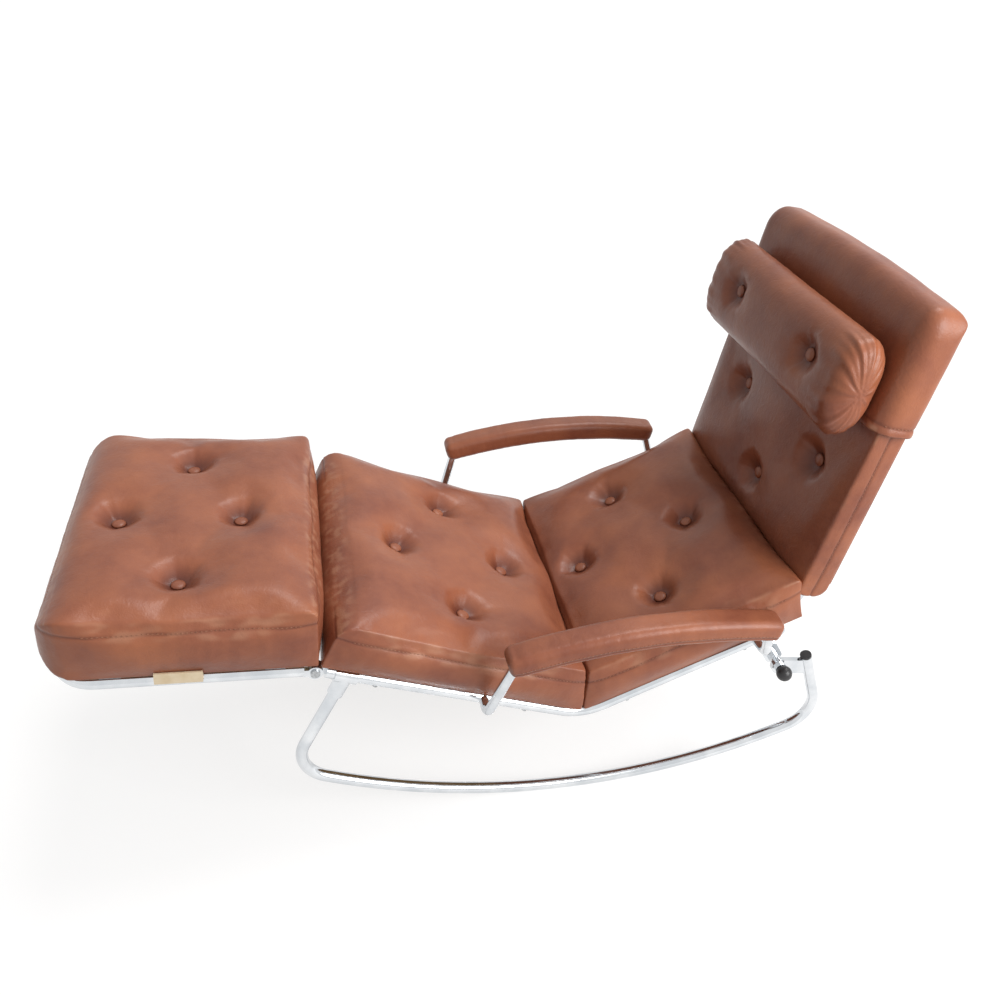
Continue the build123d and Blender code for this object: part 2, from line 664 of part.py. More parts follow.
def leg_body(low, skin):
    body = pad(leg_length, HALF, LEG_SIDE, SHOULDER, SHOULDER_INSET, CROWN, low, skin,
               rolls=(56, 60), kept=(0.46, 0.6))
    return beyond_mitre(LEG, LEG_START, body, skin, -1)


def seat_body(low, skin):
    body = pad(seat_length, HALF, SEAT_SIDE, SHOULDER, SHOULDER_INSET, CROWN, low, skin,
               rolls=(60, 54), kept=(0.6, 0.53))
    return beyond_mitre(SEAT, -10.0, body, skin, 1)


def beyond_mitre(plane, start, body, skin, way):
    """Keep what lies on one side of the upright plane through the valley, with a seam gap."""
    shifted = Location((start, 0, 0)) * body
    stood = place(plane, Location((0, 0, rail_base)) * shifted)
    block = Location((VALLEY.X + way * (MITRE_GAP / 2 + skin + 1000), 0, VALLEY.Z)) * Box(2000, 1000, 2000)
    kept = stood & block
    return Location((0, 0, -rail_base)) * (plane.location.inverse() * kept)


def flat_board(u0, u1, half, thick=BOARD):
    """Plywood base board lying in the open bottom of a cover."""
    plate = Location(((u0 + u1) / 2, 0, thick / 2)) * Box(u1 - u0, 2 * half, thick)
    return fillet(plate.edges().filter_by(Axis.Z), 10)


board_half = HALF - DRAW_IN - SKIN_IN - 1


def diamond(length, shares, spread, side):
    """Four tufts on a cushion top: one near each end, one near each side."""
    first, middle, last = (share * length for share in shares)
    across = spread * HALF
    inner = top_at(side, SHOULDER, SHOULDER_INSET, CROWN, HALF, 0)
    outer = top_at(side, SHOULDER, SHOULDER_INSET, CROWN, HALF, across)
    return [(first, 0, inner), (last, 0, inner), (middle, across, outer), (middle, -across, outer)]


leg_spots = diamond(LEG_RUN, LEG_TUFTS, TUFT_SPREAD, LEG_SIDE)
seat_spots = diamond(BACK_SEAM_U, SEAT_TUFTS, TUFT_SPREAD, SEAT_SIDE)


def screws_through(plane, stations, across, tip, head):
    """Machine screws from under a tube up into a board."""
    made = []
    for u in stations:
        for v in (-across, across):
            shank = rod((u, v, head), (u, v, tip), SCREW_DIA)
            cap_end = rod((u, v, head - 3), (u, v, head), 2 * SCREW_DIA)
            made.append(plane.location * (shank + cap_end))
    return made


screw_tip_w = rail_base + BOARD - 2
leg_span = (LEG_START + 12, LEG_RUN - VALLEY_BEND / 2)
seat_span = (VALLEY_BEND / 2, BACK_SEAM_U - 10)
leg_hollows = (leg_span[0] + 26, leg_span[1] - 26, board_half - 16)
for name, plane, build, spots, span, stations, hollows in (
    ("leg", LEG, leg_body, leg_spots, leg_span, LEG_SCREWS_AT, leg_hollows),
    ("seat", SEAT, seat_body, seat_spots, seat_span, SEAT_SCREWS_AT, None),
):
    made = tufted(plane, build, spots, rail_base, rails_clear, BOARD, hollows)
    board = place(plane, Location((0, 0, rail_base)) * flat_board(span[0], span[1], board_half))
    screws = screws_through(plane, stations, RAIL_Y, screw_tip_w, -TUBE_R)
    for screw in screws:
        board -= screw
        if screw.center().Y < 0:
            rail_left -= screw
    nodes[name + "_cover"] = made["cover"]
    nodes[name + "_foam"] = made["foam"]
    nodes[name + "_buttons"] = made["buttons"]
    nodes[name + "_board"] = board
    nodes[name + "_screws"] = group(screws)

nodes["seat_rail_left"] = rail_left
nodes["seat_rail_right"] = mirror(rail_left, about=Plane.XZ)

# Footrest cushion
FOOT_START = -3.0


def foot_body(low, skin):
    body = pad(FOOT_LENGTH, HALF, FOOT_SIDE, SHOULDER, SHOULDER_INSET, CROWN, low, skin,
               rolls=(26, 44), kept=(0.8, 0.72), corners=(12, FOOT_CORNER))
    return Location((FOOT_START, 0, 0)) * body


foot_spots = diamond(FOOT_LENGTH, FOOT_TUFTS, FOOT_TUFT_SPREAD, FOOT_SIDE)
foot_hollows = (FOOT_START + 30, FOOT_START + FOOT_LENGTH - 50, board_half - 16)
made = tufted(FOOT, foot_body, foot_spots, foot_base, None, BOARD, foot_hollows)
nodes["footrest_cover"] = made["cover"]
nodes["footrest_foam"] = made["foam"]
nodes["footrest_buttons"] = made["buttons"]
foot_board = flat_board(FOOT_START + 8, FOOT_START + FOOT_LENGTH - 42, board_half)
nodes["footrest_board"] = place(FOOT, Location((0, 0, foot_base)) * foot_board)

# Back frame and hinge sleeves
sleeve_full = rod((HINGE.X, -SLEEVE_Y - SLEEVE_LENGTH / 2, HINGE.Z),
                  (HINGE.X, -SLEEVE_Y + SLEEVE_LENGTH / 2, HINGE.Z), SLEEVE_DIA)
sleeve_bore = rod((HINGE.X, -SLEEVE_Y - SLEEVE_LENGTH, HINGE.Z),
                  (HINGE.X, -SLEEVE_Y + SLEEVE_LENGTH, HINGE.Z), TUBE_DIA + 2 * RUN_GAP)
nodes["hinge_sleeves"] = both(sleeve_full - sleeve_bore)
frame_w = -BACK_TUBE_DIA / 2 - SOFT_GAP
frame_top = BACK.from_local_coords(Vector(BACK_FRAME_RISE, 0, frame_w))
frame_low = BACK.from_local_coords(Vector(0, 0, frame_w))
slope = (frame_top.X - frame_low.X) / (frame_top.Z - frame_low.Z)
frame_knee_x = frame_low.X - (frame_low.Z - HINGE.Z) * slope
frame_path = FilletPolyline(
    (HINGE.X, -SLEEVE_Y, HINGE.Z),
    (frame_knee_x, -SLEEVE_Y, HINGE.Z),
    (frame_top.X, -SLEEVE_Y, frame_top.Z),
    (frame_top.X, SLEEVE_Y, frame_top.Z),
    (frame_knee_x, SLEEVE_Y, HINGE.Z),
    (HINGE.X, SLEEVE_Y, HINGE.Z),
    radius=(40, 50, 50, 40),
)
back_frame = tube(frame_path, BACK_TUBE_DIA, BACK_WALL) - sleeve_full - mirror(sleeve_full, about=Plane.XZ)

# Back cushion
BACK_GAP = 4.0


def back_body(low, skin):
    body = pad(BACK_LENGTH - BACK_GAP, HALF, BACK_SIDE, BACK_SHOULDER, SHOULDER_INSET, CROWN, low, skin,
               rolls=(36, BACK_TOP_ROLL), kept=(0.6, BACK_TOP_KEPT), corners=(12, 24), draw=0.0)
    return Location((BACK_GAP, 0, 0)) * body


back_low, back_high = (share * BACK_LENGTH for share in BACK_TUFTS)
back_across = BACK_TUFT_SPREAD * HALF
back_mid = top_at(BACK_SIDE, BACK_SHOULDER, SHOULDER_INSET, CROWN, HALF, 0)
back_off = top_at(BACK_SIDE, BACK_SHOULDER, SHOULDER_INSET, CROWN, HALF, back_across)
back_spots = [(back_low, 0, back_mid)]
back_spots += [(back_high, way * back_across, back_off) for way in (1, -1)]
made = tufted(BACK, back_body, back_spots, 0.0, None, BACK_BOARD)
nodes["back_cover"] = made["cover"]
nodes["back_foam"] = made["foam"]
nodes["back_buttons"] = made["buttons"]
back_board = place(BACK, flat_board(BACK_GAP + 18, BACK_LENGTH - 30, board_half, BACK_BOARD))
back_screws = screws_through(BACK, BACK_SCREWS_AT, SLEEVE_Y, BACK_BOARD - 4, frame_w - BACK_TUBE_DIA / 2)
for screw in back_screws:
    back_board -= screw
    back_frame -= screw
nodes["back_board"] = back_board
nodes["back_screws"] = group(back_screws)
nodes["back_frame"] = back_frame

# Headrest: hood over the top of the back, bolster sewn to its front
HOOD_GAP = 0.6
hood_in = HOOD_GAP
hood_out = HOOD_GAP + LEATHER
hood_length = BACK_LENGTH - HOOD_HEM


def hood_block(grow, start):
    """Sleeve body over the upper back, grown outwards from the cushion's own section."""
    length = hood_length + grow - start
    body = pad(length, HALF + grow, BACK_SIDE + grow, BACK_SHOULDER, SHOULDER_INSET, CROWN, -grow, 0.0,
               rolls=(1, BACK_TOP_ROLL + grow), kept=(0.99, BACK_TOP_KEPT),
               corners=(1, 24 + grow), draw=0.0)
    return Location((HOOD_HEM + start, 0, 0)) * body


hood = hood_block(hood_out, 0.0) - hood_block(hood_in, -20.0)
nodes["headrest_hood"] = place(BACK, hood)
hood_front = BACK_SIDE + BACK_SHOULDER + CROWN + hood_out
BOLSTER = Plane(
    origin=BACK.from_local_coords(Vector(BOLSTER_U, -BOLSTER_LENGTH / 2, hood_front + SOFT_GAP)),
    x_dir=(0, 1, 0),
    z_dir=BACK.z_dir,
)
bolster_side = BOLSTER_DEPTH * 0.36
bolster_round = BOLSTER_DEPTH * 0.5
bolster_crown = BOLSTER_DEPTH * 0.14
bolster_inset = BOLSTER_HALF * 0.62


def bolster_body(low, skin):
    return pad(BOLSTER_LENGTH, BOLSTER_HALF, bolster_side, bolster_round, bolster_inset, bolster_crown,
               low, skin, rolls=(40, 40), kept=(0.7, 0.7), corners=(26, 26), draw=3.0)


bolster_top = bolster_side + bolster_round + bolster_crown - TUFT_SINK
bolster_spread = BOLSTER_TUFT_SPREAD * BOLSTER_LENGTH
bolster_middle = BOLSTER_LENGTH / 2
bolster_spots = [(bolster_middle + way * bolster_spread, 0, bolster_top) for way in (-1, 1)]
bolster_cover = bolster_body(0.0, 0.0)
bolster_hollow = bolster_body(LEATHER, LEATHER)
bolster_fill = bolster_body(SKIN_IN, SKIN_IN)
for u, v, top in bolster_spots:
    bolster_cover -= tuft(u, v, top)
    bolster_hollow -= tuft(u, v, top, LEATHER)
    bolster_fill -= tuft(u, v, top, SKIN_IN)
nodes["bolster_cover"] = place(BOLSTER, bolster_cover - bolster_hollow)
nodes["bolster_fill"] = place(BOLSTER, bolster_fill)
bolster_buttons = [button(u, v, top) for u, v, top in bolster_spots]
nodes["bolster_buttons"] = place(BOLSTER, group(bolster_buttons))

# Origin under the middle of the plan
box = group(nodes.values()).bounding_box()
offset = -(box.min.X + box.max.X) / 2
shift = Location((offset, 0, 0))
os.makedirs("parts", exist_ok=True)
for name, shape in nodes.items():
    export_step(shift * shape, "parts/" + name + ".step")
print("offset", round(offset, 3), "size", round(box.size.X, 1), round(box.size.Y, 1), round(box.size.Z, 1))
print("knee", round(KNEE_X + offset, 3), KNEE_Z, "hinge", round(HINGE.X + offset, 3), round(HINGE.Z, 3))
print("low point", round(ROCKER_X + offset, 3))
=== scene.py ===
import json
import math

import bmesh
import bpy
import numpy as np
from mathutils import Matrix, Vector, noise
from mathutils.bvhtree import BVHTree

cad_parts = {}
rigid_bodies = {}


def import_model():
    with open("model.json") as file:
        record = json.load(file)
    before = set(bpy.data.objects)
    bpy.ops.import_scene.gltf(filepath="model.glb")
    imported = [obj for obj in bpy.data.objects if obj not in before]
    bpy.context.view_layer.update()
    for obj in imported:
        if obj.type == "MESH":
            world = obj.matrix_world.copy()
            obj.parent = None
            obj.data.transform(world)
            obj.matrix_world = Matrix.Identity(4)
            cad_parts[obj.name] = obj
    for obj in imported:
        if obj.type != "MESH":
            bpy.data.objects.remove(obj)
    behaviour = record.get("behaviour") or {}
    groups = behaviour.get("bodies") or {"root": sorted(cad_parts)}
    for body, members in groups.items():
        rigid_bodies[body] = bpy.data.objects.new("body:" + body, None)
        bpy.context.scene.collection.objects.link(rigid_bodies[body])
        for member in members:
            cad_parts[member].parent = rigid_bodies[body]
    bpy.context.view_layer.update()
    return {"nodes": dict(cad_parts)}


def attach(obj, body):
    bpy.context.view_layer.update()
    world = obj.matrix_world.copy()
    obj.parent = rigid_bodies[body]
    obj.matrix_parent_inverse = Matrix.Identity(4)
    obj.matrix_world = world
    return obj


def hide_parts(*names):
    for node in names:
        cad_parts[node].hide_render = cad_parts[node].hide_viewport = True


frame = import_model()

MM = 0.001
scene = bpy.context.scene
nodes = frame["nodes"]

# Sizes that the soft pieces share with the frame, in millimetres and degrees. Places are given as x and z in the
# side view, and ORIGIN_X moves them to the frame's own origin.
ORIGIN_X = 248.462
KNEE = (-548.0, 396.0)
LEG_SLOPE = -21.5
LEG_RUN = 516.0
SEAT_SLOPE = 24.0
BACK_SLOPE = 80.0
BACK_REAR = (372.51, 443.13)
FOOT_SLOPE = 4.0
HALF_WIDTH = 280.0
RAIL_BASE = 11.4
FOOT_BASE = 14.0
BOLSTER_BASE = 72.0
VALLEY_GAP = 1.0
ARM_FRONT = (-240.0, 428.0)
ARM_REAR = (250.0, 447.0)
ARM_RISE = 29.0
ARM_SIDE = 336.0
ARM_HALF = 245.0

# Heights of the side seams over each cushion's base, in millimetres
LEG_SEAM = 68.0
SEAT_SEAM = 64.0
FOOT_SEAM = 92.0
BACK_SEAM = 30.0

# Places of the buttons along and across each cushion, in millimetres
LEG_TUFTS = [(139, 0), (366, 0), (253, 160), (253, -160)]
SEAT_TUFTS = [(108, 0), (344, 0), (226, 160), (226, -160)]
FOOT_TUFTS = [(124, 0), (330, 0), (217, 171), (217, -171)]
BACK_TUFTS = [(92, 0), (217, 150), (217, -150)]
PILLOW_TUFTS = [(412, 140), (412, -140)]

# The pillow's and the hood's boxes in the back's own frame, in millimetres
PILLOW_LOW = (314.0, -264.0, 0.0)
PILLOW_HIGH = (490.0, 264.0, 87.0)
HOOD_LOW = (346.0, -284.0, -6.0)
HOOD_HIGH = (562.0, 284.0, 70.0)
HEM_STITCH = 361.0

# Leatherwork, in millimetres
BUTTON_RADIUS = 12.0
BUTTON_DOME = 5.2
BUTTON_PLEATS = 12
BUTTON_HOLD = 11.0
BUTTON_LIFT = 2.0
TUFT_DEPTH = 25.0
TUFT_REACH = 47.0
SEAM_DEPTH = 1.3
SEAM_SPREAD = 2.2
HIDE = 2.2
STITCH_PITCH = 7.0
STITCH_HALF = (2.5, 0.7, 0.6)

# Colour sockets of a mix node: two in, one out
MIX_A = 6
MIX_B = 7
MIX_OUT = 2

# Cloth simulation: frames that it runs for, and the share of its fine creasing that firm foam lets through
SWELL_FRAMES = 20
CREASE_SHARE = 0.22

# Edges further out than this from a cushion's middle are its side edges, in millimetres
NEAR_SIDE = 270.0

# Half the floor's side, in metres
FLOOR_HALF = 60.0


def side_frame(x, z, degrees, way=1):
    """Frame in the side view: first axis along a slope, second across the chair, third square to the slope."""
    turn = math.radians(degrees)
    along = Vector((way * math.cos(turn), 0, math.sin(turn)))
    square = Vector((-way * math.sin(turn), 0, math.cos(turn)))
    across = square.cross(along)
    placed = Matrix((along, across, square)).transposed().to_4x4()
    placed.translation = Vector(((x + ORIGIN_X) * MM, 0, z * MM))
    return placed


LEG = side_frame(*KNEE, LEG_SLOPE)
valley = LEG @ Vector((LEG_RUN * MM, 0, 0))
SEAT = side_frame(valley.x / MM - ORIGIN_X, valley.z / MM, SEAT_SLOPE)
BACK = side_frame(*BACK_REAR, BACK_SLOPE)
FOOT = side_frame(*KNEE, FOOT_SLOPE, way=-1)


# Materials


def colour(code):
    """Linear colour of an sRGB hex value."""
    parts = [int(code[i:i + 2], 16) / 255 for i in (1, 3, 5)]
    return [c / 12.92 if c <= 0.04045 else ((c + 0.055) / 1.055) ** 2.4 for c in parts] + [1.0]


def add(tree, kind, links=None, stops=(), **settings):
    """One node with its settings, the sockets that feed it, and its colour stops, the two outer ones first."""
    made = tree.nodes.new(kind)
    for count, (place, code) in enumerate(stops):
        points = made.color_ramp.elements
        point = points[count] if count < len(points) else points.new(place)
        point.position = place
        point.color = colour(code)
    for name, value in settings.items():
        if hasattr(made, name):
            setattr(made, name, value)
        else:
            made.inputs[name.replace("_", " ")].default_value = value
    for name, source in (links or {}).items():
        tree.links.new(source, made.inputs[name])
    return made


def material(name, **surface):
    """An empty material with its shader's uniform values set."""
    made = bpy.data.materials.new(name)
    made.use_nodes = True
    shader = made.node_tree.nodes["Principled BSDF"]
    for socket, value in surface.items():
        shader.inputs[socket.replace("_", " ")].default_value = value
    return made, made.node_tree, shader


def leather(name, light, middle, dark, recess_shade, worn_and_sheen):
    """Aniline-dyed cowhide, drum-tumbled and waxed: cloudy dye, fine pebbled grain, a waxy shine that breaks up
    on the grain, painted shade where it dips into a tuft or a seam, and pale scuffs with a painted highlight
    along edges."""
    made, tree, shader = material(name, IOR=1.5, Specular_IOR_Level=0.36, Coat_Weight=0.06,
                                  Coat_Roughness=0.25)
    place = add(tree, "ShaderNodeTexCoord").outputs["Object"]
    cloud = add(tree, "ShaderNodeTexNoise", {"Vector": place}, Scale=1 / (110 * MM), Detail=4.0, Roughness=0.6)
    dye = add(tree, "ShaderNodeValToRGB", {"Fac": cloud.outputs["Fac"]},
              [(0.28, dark), (0.74, light), (0.5, middle)])
    # Painted shade: the dye darkens towards the recess colour in tuft dimples and seam grooves.
    painted_recess_shade = add(tree, "ShaderNodeAttribute", attribute_name="painted_recess_shade")
    recess_shaded_dye = add(tree, "ShaderNodeMix", {"Factor": painted_recess_shade.outputs["Fac"], MIX_A: dye.outputs["Color"]},
                 data_type="RGBA")
    recess_shaded_dye.inputs[MIX_B].default_value = colour(recess_shade)
    # Pale scuffs and a painted highlight: the dye lightens along the top edges and the hood's hem.
    scuff_and_sheen = add(tree, "ShaderNodeAttribute", attribute_name="wear_and_sheen")
    rubbed_and_sheen = add(tree, "ShaderNodeMix", {"Factor": scuff_and_sheen.outputs["Fac"], MIX_A: recess_shaded_dye.outputs[MIX_OUT]},
                 data_type="RGBA")
    rubbed_and_sheen.inputs[MIX_B].default_value = colour(worn_and_sheen)
    tree.links.new(rubbed_and_sheen.outputs[MIX_OUT], shader.inputs["Base Color"])
    # Real pores are under a millimetre; 2.2 mm cells are the finest that still show.
    pores = add(tree, "ShaderNodeTexVoronoi", {"Vector": place}, Scale=1 / (2.2 * MM), feature="SMOOTH_F1")
    creases = add(tree, "ShaderNodeTexNoise", {"Vector": place}, Scale=1 / (14 * MM), Detail=3.0, Distortion=1.2)
    grain = add(tree, "ShaderNodeBump", {"Height": pores.outputs["Distance"]}, Strength=0.3, Distance=0.6 * MM)
    wrinkled = add(tree, "ShaderNodeBump",
                   {"Height": creases.outputs["Fac"], "Normal": grain.outputs["Normal"]},
                   Strength=0.28, Distance=2.2 * MM)
    tree.links.new(wrinkled.outputs["Normal"], shader.inputs["Normal"])
    wax = add(tree, "ShaderNodeMapRange", {"Value": creases.outputs["Fac"]}, To_Min=0.31, To_Max=0.47)
    tree.links.new(wax.outputs["Result"], shader.inputs["Roughness"])
    return made


def chrome(name):
    """Chromium plate on drawn steel tube: mirror bright, with faint drawing marks and hand smears."""
    made, tree, shader = material(name, Metallic=1.0)
    place = add(tree, "ShaderNodeTexCoord").outputs["Object"]
    smear = add(tree, "ShaderNodeTexNoise", {"Vector": place}, Scale=1 / (45 * MM), Detail=5.0)
    tone = add(tree, "ShaderNodeValToRGB", {"Fac": smear.outputs["Fac"]},
               [(0.35, "#CBCFD3"), (0.7, "#E2E4E6")])
    tree.links.new(tone.outputs["Color"], shader.inputs["Base Color"])
    haze = add(tree, "ShaderNodeMapRange", {"Value": smear.outputs["Fac"]}, To_Min=0.05, To_Max=0.16)
    tree.links.new(haze.outputs["Result"], shader.inputs["Roughness"])
    return made


def zinc_steel(name):
    """Zinc-plated steel: grey, lightly spangled, satin."""
    made, tree, shader = material(name, Metallic=1.0)
    place = add(tree, "ShaderNodeTexCoord").outputs["Object"]
    spangle = add(tree, "ShaderNodeTexVoronoi", {"Vector": place}, Scale=1 / (4 * MM))
    tone = add(tree, "ShaderNodeValToRGB", {"Fac": spangle.outputs["Distance"]},
               [(0.1, "#9A9C9E"), (0.8, "#BCBEC0")])
    tree.links.new(tone.outputs["Color"], shader.inputs["Base Color"])
    satin = add(tree, "ShaderNodeMapRange", {"Value": spangle.outputs["Distance"]}, To_Min=0.3, To_Max=0.44)
    tree.links.new(satin.outputs["Result"], shader.inputs["Roughness"])
    return made


def plastic(name, light, dark, rough):
    """Plastic, moulded or spun into thread: a fine matt skin and slight clouds of colour."""
    made, tree, shader = material(name, IOR=1.5)
    place = add(tree, "ShaderNodeTexCoord").outputs["Object"]
    flow = add(tree, "ShaderNodeTexNoise", {"Vector": place}, Scale=1 / (20 * MM), Detail=3.0)
    tone = add(tree, "ShaderNodeValToRGB", {"Fac": flow.outputs["Fac"]}, [(0.3, dark), (0.7, light)])
    tree.links.new(tone.outputs["Color"], shader.inputs["Base Color"])
    # The skin of a mould is about 0.1 mm fine; 1.2 mm is the finest that shows.
    skin = add(tree, "ShaderNodeTexNoise", {"Vector": place}, Scale=1 / (1.2 * MM))
    bump = add(tree, "ShaderNodeBump", {"Height": skin.outputs["Fac"]}, Strength=0.15, Distance=0.3 * MM)
    tree.links.new(bump.outputs["Normal"], shader.inputs["Normal"])
    gloss = add(tree, "ShaderNodeMapRange", {"Value": skin.outputs["Fac"]}, To_Min=rough - 0.06,
                To_Max=rough + 0.06)
    tree.links.new(gloss.outputs["Result"], shader.inputs["Roughness"])
    return made


def birch_ply(name):
    """Rotary-cut birch plywood: a pale sanded face with long soft figure."""
    made, tree, shader = material(name, IOR=1.45)
    place = add(tree, "ShaderNodeTexCoord").outputs["Object"]
    # The figure is about 250 mm long and 17 mm wide.
    stretch = add(tree, "ShaderNodeMapping", {"Vector": place}, Scale=(4.0, 60.0, 60.0))
    figure = add(tree, "ShaderNodeTexNoise", {"Vector": stretch.outputs["Vector"]}, Scale=1.0, Detail=6.0,
                 Distortion=0.8)
    tone = add(tree, "ShaderNodeValToRGB", {"Fac": figure.outputs["Fac"]},
               [(0.3, "#A98257"), (0.8, "#D8B98C"), (0.55, "#C7A274")])
    tree.links.new(tone.outputs["Color"], shader.inputs["Base Color"])
    bump = add(tree, "ShaderNodeBump", {"Height": figure.outputs["Fac"]}, Strength=0.2, Distance=0.5 * MM)
    tree.links.new(bump.outputs["Normal"], shader.inputs["Normal"])
    sanded = add(tree, "ShaderNodeMapRange", {"Value": figure.outputs["Fac"]}, To_Min=0.5, To_Max=0.66)
    tree.links.new(sanded.outputs["Result"], shader.inputs["Roughness"])
    return made


# Its last two colours: a dark painted shade for tuft dimples and seam grooves, and a pale tone for scuffs with a
# painted highlight along edges.
COGNAC = leather("cognac_aniline_leather", "#A16142", "#91553C", "#7C4431", "#4A1C15", "#B58468")
CHROME = chrome("chromium_plated_steel")
ZINC = zinc_steel("zinc_plated_steel")
NYLON = plastic("cream_nylon", "#E8D6B8", "#D9C3A0", 0.42)
BLACK = plastic("black_abs", "#2C2B2C", "#1E1D1E", 0.36)
PLY = birch_ply("birch_plywood")
THREAD = plastic("bonded_polyester_thread", "#9C6A4C", "#85553C", 0.5)

FINISH = {
    CHROME: ("rocker_left", "rocker_right", "rear_cross_bar", "seat_rail_left", "seat_rail_right", "hinge_tube",
             "front_cross_tube", "middle_cross_tube", "arm_tube_left", "arm_tube_right", "footrest_tube",
             "back_frame", "hinge_sleeves", "tee_clamps", "bar_brackets", "lug_plates", "knee_knuckles",
             "footrest_knuckles"),
    ZINC: ("tee_screws", "leg_screws", "seat_screws", "back_screws", "knee_pins", "footrest_straps"),
    NYLON: ("footrest_clips",),
    BLACK: ("bar_balls", "upright_caps"),
    PLY: ("leg_board", "seat_board", "footrest_board"),
    COGNAC: ("back_board",),
}
for finish, names in FINISH.items():
    for name in names:
        nodes[name].data.materials.clear()
        nodes[name].data.materials.append(finish)


# Soft pieces


def block(u0, u1, half, w0, w1):
    """Plain block in a local frame, sizes in millimetres."""
    bm = bmesh.new()
    bmesh.ops.create_cube(bm, size=MM)
    bmesh.ops.scale(bm, vec=(u1 - u0, 2 * half, w1 - w0), verts=bm.verts)
    bmesh.ops.translate(bm, vec=((u0 + u1) / 2 * MM, 0, (w0 + w1) / 2 * MM), verts=bm.verts)
    return bm


def round_off(bm, radius, where, segments=10):
    """Round the edges whose both ends pass a test on their place in millimetres."""
    picked = [e for e in bm.edges if all(where(*(v.co / MM)) for v in e.verts)]
    bmesh.ops.bevel(bm, geom=picked, offset=radius * MM, offset_type="OFFSET", affect="EDGES",
                    segments=segments, profile=0.5, material=-1, clamp_overlap=True)


def cut_off(bm, point, normal):
    """Cut the form at a plane and close the cut."""
    cut = bmesh.ops.bisect_plane(bm, geom=[*bm.verts, *bm.edges, *bm.faces], plane_co=point,
                                 plane_no=normal, clear_outer=True)
    rim = [e for e in cut["geom_cut"] if isinstance(e, bmesh.types.BMEdge)]
    bmesh.ops.contextual_create(bm, geom=rim)


def as_object(bm, name):
    """A bmesh as a linked object."""
    mesh = bpy.data.meshes.new(name)
    bm.to_mesh(mesh)
    bm.free()
    made = bpy.data.objects.new(name, mesh)
    scene.collection.objects.link(made)
    return made


def points_of(mesh):
    """Vertex places of a mesh, in millimetres."""
    flat = np.empty(len(mesh.vertices) * 3)
    mesh.vertices.foreach_get("co", flat)
    return flat.reshape(-1, 3) / MM


def normals_of(mesh):
    """Vertex normals of a mesh."""
    flat = np.empty(len(mesh.vertices) * 3)
    mesh.vertices.foreach_get("normal", flat)
    return flat.reshape(-1, 3)


def move_to(mesh, places):
    """Give a mesh new vertex places, in millimetres."""
    mesh.vertices.foreach_set("co", (places * MM).ravel())
    mesh.update()


def smooth_step(value):
    """Soft step from 0 to 1."""
    t = np.clip(value, 0, 1)
    return t * t * (3 - 2 * t)


def remesh(piece, voxel):
    """Even quads all over a form."""
    bpy.context.view_layer.objects.active = piece
    piece.data.remesh_voxel_size = voxel * MM
    bpy.ops.object.voxel_remesh()


def rounded(places, low, high, radii):
    """Round all the edges of a box-shaped cover, each axis by its own radius."""
    radii = np.array(radii, float)
    core = np.clip(places, np.array(low) + radii, np.array(high) - radii)
    out = (places - core) / radii
    size = np.linalg.norm(out, axis=1, keepdims=True)
    return core + radii * out / np.maximum(size, 1)


def dimple(places, tufts, depth, reach):
    """Pull a top down to its buttons, and leave the lower part of the cushion as it is."""
    for u, v in tufts:
        away = np.hypot(places[:, 0] - u, places[:, 1] - v)
        pull = (1 - smooth_step((away - 7) / reach)) ** 1.3
        upper = smooth_step((places[:, 2] - 20) / 30)
        places[:, 2] -= depth * pull * upper


def stuff(piece, held, pressure, cap):
    """Swell a cover with its filling, held at some points, and keep each point within a cap of where it was. Most
    of the fine creasing is smoothed out, as over firm foam."""
    before = points_of(piece.data)
    group = piece.vertex_groups.new(name="held")
    group.add([int(i) for i in np.flatnonzero(held)], 1.0, "REPLACE")
    cloth = piece.modifiers.new("filling", "CLOTH")
    hide = cloth.settings
    hide.quality = 4
    hide.mass = 0.4
    hide.tension_stiffness = 20
    hide.compression_stiffness = 20
    hide.shear_stiffness = 8
    hide.bending_stiffness = 4.0
    hide.use_pressure = True
    hide.uniform_pressure_force = pressure
    hide.vertex_group_mass = "held"
    hide.effector_weights.gravity = 0
    cloth.collision_settings.use_collision = False
    for number in range(1, SWELL_FRAMES + 1):
        scene.frame_set(number)
    swollen = piece.evaluated_get(bpy.context.evaluated_depsgraph_get())
    after = points_of(swollen.data)
    piece.modifiers.remove(cloth)
    scene.frame_set(1)
    moved = after - before
    size = np.linalg.norm(moved, axis=1, keepdims=True)
    moved *= np.minimum(1, cap / np.maximum(size, 1e-6))
    calm = settle(piece.data, moved, held)
    move_to(piece.data, before + calm + CREASE_SHARE * (moved - calm))


def settle(mesh, moved, held, rounds=16):
    """Spread a swelling over its neighbours."""
    ends = np.empty(len(mesh.edges) * 2, dtype=np.int64)
    mesh.edges.foreach_get("vertices", ends)
    first, second = ends.reshape(-1, 2).T
    count = np.bincount(ends, minlength=len(moved))[:, None]
    calm = moved.copy()
    for _ in range(rounds):
        around = np.zeros_like(calm)
        np.add.at(around, first, calm[second])
        np.add.at(around, second, calm[first])
        calm = 0.4 * calm + 0.6 * around / count
        calm[held] = 0
    return calm


def refine(piece):
    """One subdivision, made part of the mesh."""
    finer = piece.modifiers.new("finer", "SUBSURF")
    finer.levels = 1
    finer.render_levels = 1
    fine = bpy.data.meshes.new_from_object(piece.evaluated_get(bpy.context.evaluated_depsgraph_get()))
    piece.modifiers.remove(finer)
    old = piece.data
    piece.data = fine
    bpy.data.meshes.remove(old)


def ripple(places, size, seed):
    """Smooth noise at each place, one wave about as long as a size in millimetres on each axis."""
    shifted = places / np.array(size, float) + seed
    return np.array([noise.noise(Vector(p)) for p in shifted])


